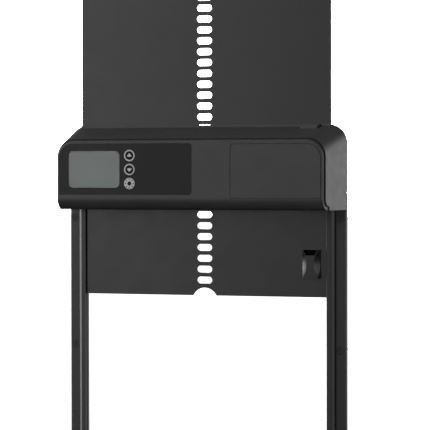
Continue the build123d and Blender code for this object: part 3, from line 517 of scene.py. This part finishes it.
def arrowhead(direction):
    """A plump arrowhead's outline, in metres, pointing up or down."""
    points = []
    for k, (corner, reach) in enumerate(zip(ARROW_CORNERS, ARROW_ROUNDING)):
        here = Vector(corner)
        following = ARROW_CORNERS[(k + 1) % len(ARROW_CORNERS)]
        before = here + (Vector(ARROW_CORNERS[k - 1]) - here).normalized() * reach
        after = here + (Vector(following) - here).normalized() * reach
        for step in range(ARROW_STEPS + 1):
            t = step / ARROW_STEPS
            point = before * (1 - t) ** 2 + here * 2 * t * (1 - t) + after * t ** 2
            points.append((point.x * MM, point.y * MM * direction))
    return points


INK = print_ink("key_print_look", (0.66, 0.67, 0.66))
INK_THICKNESS = 0.05 * MM
INK_SUNK = 0.03 * MM

# Inner and outer radii of the printed shapes, in mm.
ARROW_RING = (4.15, 5.3)
GEAR_RING = (4.5, 5.3)
GEAR_HUB = (2.0, 3.5)
GEAR_TOOTH = (3.45, 4.5)
GEAR_TEETH = 8
TOOTH_HALF_ANGLE = 0.24
RING_STEPS = 56
HUB_STEPS = 40
TOOTH_STEPS = 4


def key_print(node, body, symbol):
    """The printed ring and symbol on one key, a piece that rides on the key."""
    low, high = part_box(node)
    centre = ((low.x + high.x) / 2, (low.z + high.z) / 2)
    y_back = low.y + INK_SUNK
    y_front = y_back - INK_THICKNESS
    bm = bmesh.new()
    if symbol == "gear":
        sector(bm, centre, GEAR_RING, 0, 2 * pi, y_front, y_back, RING_STEPS)
        sector(bm, centre, GEAR_HUB, 0, 2 * pi, y_front, y_back, HUB_STEPS)
        for k in range(GEAR_TEETH):
            middle = (2 * k + 1) * pi / GEAR_TEETH
            sector(bm, centre, GEAR_TOOTH, middle - TOOTH_HALF_ANGLE,
                   middle + TOOTH_HALF_ANGLE, y_front, y_back, TOOTH_STEPS)
    else:
        sector(bm, centre, ARROW_RING, 0, 2 * pi, y_front, y_back, RING_STEPS)
        direction = 1 if symbol == "up" else -1
        outline = [(centre[0] + x, centre[1] + z) for x, z in arrowhead(direction)]
        slab(bm, outline, y_front, y_back)
    bmesh.ops.recalc_face_normals(bm, faces=bm.faces)
    piece = mesh_object(node + "_print", bm, INK)
    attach(piece, body)


# ---------------------------------------------------------------- stage, light and camera

FLOOR_HALF_WIDTH = 12
FLOOR_GAP = 0.5 * MM
FLOOR_GLOW = 0.85


def stage_floor():
    """A wide pale floor under the rails' feet, left out of reflections and bounced light."""
    g = Graph("studio_floor_look", (0.93, 0.93, 0.93), 0.85)
    g.set_color(g.tone(g.noise(400, detail=3), 0.98, 1.0))
    g.shader.inputs["Emission Color"].default_value = WHITE
    g.shader.inputs["Emission Strength"].default_value = FLOOR_GLOW
    bm = bmesh.new()
    bmesh.ops.create_grid(bm, x_segments=8, y_segments=8, size=FLOOR_HALF_WIDTH)
    floor = mesh_object("studio_floor", bm, g.material)
    floor.location.z = CAD_BOX[0][2] - FLOOR_GAP
    floor.visible_diffuse = False
    floor.visible_glossy = False


OVERHEAD_SIZE = 3.0
OVERHEAD_POWER = 22
OVERHEAD_PLACE = (0, -0.3, CAD_BOX[1][2] + 2.3)
OVERHEAD_TARGET = (0, 0.4, 0)


def overhead_light():
    """One wide soft light above the object."""
    data = bpy.data.lights.new("overhead", "AREA")
    data.shape = "RECTANGLE"
    data.size = OVERHEAD_SIZE
    data.size_y = OVERHEAD_SIZE
    data.energy = OVERHEAD_POWER
    light = bpy.data.objects.new("overhead", data)
    light.location = OVERHEAD_PLACE
    beam = Vector(OVERHEAD_TARGET) - Vector(OVERHEAD_PLACE)
    light.rotation_euler = beam.to_track_quat("-Z", "Y").to_euler()
    light.visible_camera = False
    bpy.context.scene.collection.objects.link(light)


# How strong each band of the world is, and the white that the camera sees behind the object.
FRONT_LEFT_LEVEL = 2.2
FRONT_RIGHT_LEVEL = 0.2
FAR_LEFT_LEVEL = 7.0
FAR_RIGHT_LEVEL = 1.3
BACKDROP_LEVEL = 7.0
RIGHT_LEVEL = 1.7
DIM_LEVEL = 0.06
SEEN_LEVEL = 1.05

# Where the fade of each band starts and ends, as x, y or z of the direction looked in.
FRONT_Y = (-0.05, 0.3)
FLOOR_Z = (-0.15, -0.07)
FRONT_TOP_Z = (0.35, 0.6)
FRONT_ACROSS_X = (-0.58, -0.16)
FAR_LEFT_X = (-0.95, -0.75)
FAR_RIGHT_X = (0.45, 0.75)
BACKDROP_TOP_Z = (0.08, 0.26)
BACKDROP_END_X = (-0.05, 0.2)
RIGHT_X = (0.2, 0.45)
RIGHT_TOP_Z = (0.2, 0.5)


def studio_world():
    """A white backdrop, with broad bands of light in front, at the back and at the right."""
    world = bpy.data.worlds.new("studio")
    bpy.context.scene.world = world
    world.use_nodes = True
    n = Nodes(world.node_tree)
    x, y, z = n.axes(n.node("ShaderNodeTexCoord").outputs["Generated"])
    in_front = n.ease(y, *FRONT_Y, 1, 0)
    behind = n.math("SUBTRACT", 1.0, in_front)
    above_floor = n.ease(z, *FLOOR_Z, 0, 1)
    front_band = n.math("MULTIPLY", above_floor, n.ease(z, *FRONT_TOP_Z, 1, 0))
    across = n.ease(x, *FRONT_ACROSS_X, FRONT_LEFT_LEVEL, FRONT_RIGHT_LEVEL)
    far_left = n.ease(x, *FAR_LEFT_X, FAR_LEFT_LEVEL, 0)
    far_right = n.ease(x, *FAR_RIGHT_X, 0, FAR_RIGHT_LEVEL)
    strongest = n.math("MAXIMUM", across, n.math("MAXIMUM", far_left, far_right))
    front = n.math("MULTIPLY", front_band, strongest)
    glow = n.math("MULTIPLY", n.ease(z, *BACKDROP_TOP_Z, BACKDROP_LEVEL, 0), above_floor)
    backdrop = n.math("MULTIPLY", glow, n.ease(x, *BACKDROP_END_X, 1, 0))
    right = n.math("MULTIPLY", n.ease(x, *RIGHT_X, 0, RIGHT_LEVEL), n.ease(z, *RIGHT_TOP_Z, 1, 0))
    back = n.math("MAXIMUM", backdrop, right)
    bands = n.math("ADD", n.math("MULTIPLY", front, in_front), n.math("MULTIPLY", back, behind))
    lit = n.math("MAXIMUM", bands, DIM_LEVEL)
    camera_ray = n.node("ShaderNodeLightPath").outputs["Is Camera Ray"]
    seen = n.math("MULTIPLY", camera_ray, SEEN_LEVEL)
    background = world.node_tree.nodes["Background"]
    background.inputs["Color"].default_value = WHITE
    n.link(n.math("MAXIMUM", lit, seen), background.inputs["Strength"])


CAMERA_YAW = radians(20.082)
CAMERA_PITCH = radians(-1.137)
CAMERA_ROLL = radians(-0.099)
CAMERA_LENS = 201.03
CAMERA_SENSOR = 36
CAMERA_CLIP_START = 0.05
CAMERA_DISTANCE = 2.2208
AIM_RIGHT = 0.0273
AIM_BELOW_HOUSING = 0.0044


def camera():
    """The long-lens view from the front right, aimed just under the housing's middle."""
    housing_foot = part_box("housing_body")[0].z
    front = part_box("front_cover")[0].y
    aim = Vector((AIM_RIGHT, front, housing_foot - AIM_BELOW_HOUSING))
    flat = cos(CAMERA_PITCH)
    forward = Vector((-sin(CAMERA_YAW) * flat, cos(CAMERA_YAW) * flat, sin(CAMERA_PITCH)))
    level = Vector((cos(CAMERA_YAW), sin(CAMERA_YAW), 0))
    upright = level.cross(forward)
    right = level * cos(CAMERA_ROLL) + upright * sin(CAMERA_ROLL)
    up = upright * cos(CAMERA_ROLL) - level * sin(CAMERA_ROLL)
    data = bpy.data.cameras.new("camera")
    data.lens = CAMERA_LENS
    data.sensor_width = CAMERA_SENSOR
    data.clip_start = CAMERA_CLIP_START
    view = bpy.data.objects.new("camera", data)
    turn = Matrix((right, up, -forward)).transposed()
    view.matrix_world = Matrix.Translation(aim - forward * CAMERA_DISTANCE) @ turn.to_4x4()
    bpy.context.scene.collection.objects.link(view)
    bpy.context.scene.camera = view


dress_nodes()
key_print("up_button", "up_key", "up")
key_print("down_button", "down_key", "down")
key_print("set_button", "set_key", "gear")
stage_floor()
studio_world()
overhead_light()
camera()
bpy.context.scene.view_settings.view_transform = "Standard"
